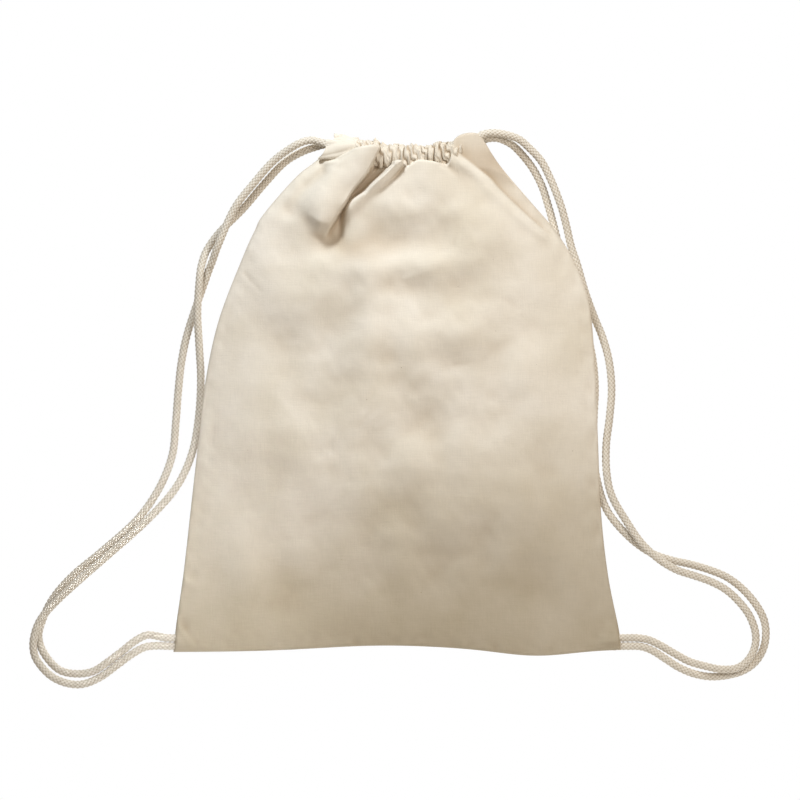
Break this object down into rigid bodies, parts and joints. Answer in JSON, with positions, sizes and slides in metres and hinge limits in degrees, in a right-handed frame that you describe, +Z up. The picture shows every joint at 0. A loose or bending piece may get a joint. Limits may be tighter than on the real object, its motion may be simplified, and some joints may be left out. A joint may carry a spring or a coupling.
{
  "type": "drawstring backpack",
  "caption": "Flat cotton drawstring backpack with a gathered mouth and a pair of doubled cord shoulder loops that run from the mouth to the bottom corners.",
  "frame": {"origin": "middle of the bag's bottom edge, in the plane of the side seams", "axes": "+Z up towards the mouth, front panel faces -Y, +X to the right as the front is seen"},
  "size_m": [0.6293, 0.0461, 0.4766],
  "materials": {
    "cotton_cloth": "natural unbleached plain-weave cotton, matte",
    "seam_cloth": "folded natural cotton, matte",
    "cotton_cord": "braided natural cotton, matte",
    "thread": "natural cotton sewing thread"
  },
  "bodies": {
    "bag": {"front_panel": "cotton_cloth", "back_panel": "cotton_cloth", "front_casing": "cotton_cloth", "back_casing": "cotton_cloth", "front_casing_stitching": "thread", "back_casing_stitching": "thread", "bottom_seam": "seam_cloth", "bottom_seam_stitching": "thread", "left_lower_side_seam": "seam_cloth", "right_lower_side_seam": "seam_cloth", "left_corner_bartack": "thread", "right_corner_bartack": "thread", "left_cord_run": "cotton_cord", "right_cord_run": "cotton_cord"},
    "left_side": {"left_upper_side_seam": "seam_cloth", "left_side_stitching": "thread", "left_slit_bartack": "thread"},
    "right_side": {"right_upper_side_seam": "seam_cloth", "right_side_stitching": "thread", "right_slit_bartack": "thread"},
    "left_corner": {"left_cord_tails": "cotton_cord"},
    "right_corner": {"right_cord_tails": "cotton_cord"},
    "left_strap": {"left_shoulder_cord": "cotton_cord"},
    "right_strap": {"right_shoulder_cord": "cotton_cord"}
  },
  "joints": [
    {"name": "left_mouth_open", "type": "hinge", "parent": "bag", "child": "left_side", "pos_m": [-0.1673, 0, 0.1945], "axis": [0, -1, 0], "range_deg": [0, 27], "deforming": ["front_casing", "back_casing", "front_casing_stitching", "back_casing_stitching", "left_cord_run", "right_cord_run"]},
    {"name": "right_mouth_open", "type": "hinge", "parent": "bag", "child": "right_side", "pos_m": [0.1693, 0, 0.1945], "axis": [0, 1, 0], "range_deg": [0, 24.5]},
    {"name": "left_corner_turn", "type": "hinge", "parent": "bag", "child": "left_corner", "pos_m": [-0.19, 0, 0.0085], "axis": [0, -1, 0], "range_deg": [0, 15.7]},
    {"name": "right_corner_turn", "type": "hinge", "parent": "bag", "child": "right_corner", "pos_m": [0.19, 0, 0.0085], "axis": [0, 1, 0], "range_deg": [0, 14.2]},
    {"name": "left_strap_swing", "type": "hinge", "parent": "left_corner", "child": "left_strap", "pos_m": [-0.19, 0, 0.0085], "axis": [-0.2762, 0, -0.9611], "range_deg": [0, 90]},
    {"name": "right_strap_swing", "type": "hinge", "parent": "right_corner", "child": "right_strap", "pos_m": [0.19, 0, 0.0085], "axis": [-0.2386, 0, 0.9711], "range_deg": [0, 90]}
  ],
  "couplings": [
    {"joint": "right_mouth_open", "follows": "left_mouth_open", "ratio": 0.9},
    {"joint": "left_corner_turn", "follows": "left_mouth_open", "ratio": 0.58},
    {"joint": "right_corner_turn", "follows": "left_mouth_open", "ratio": 0.523}
  ]
}
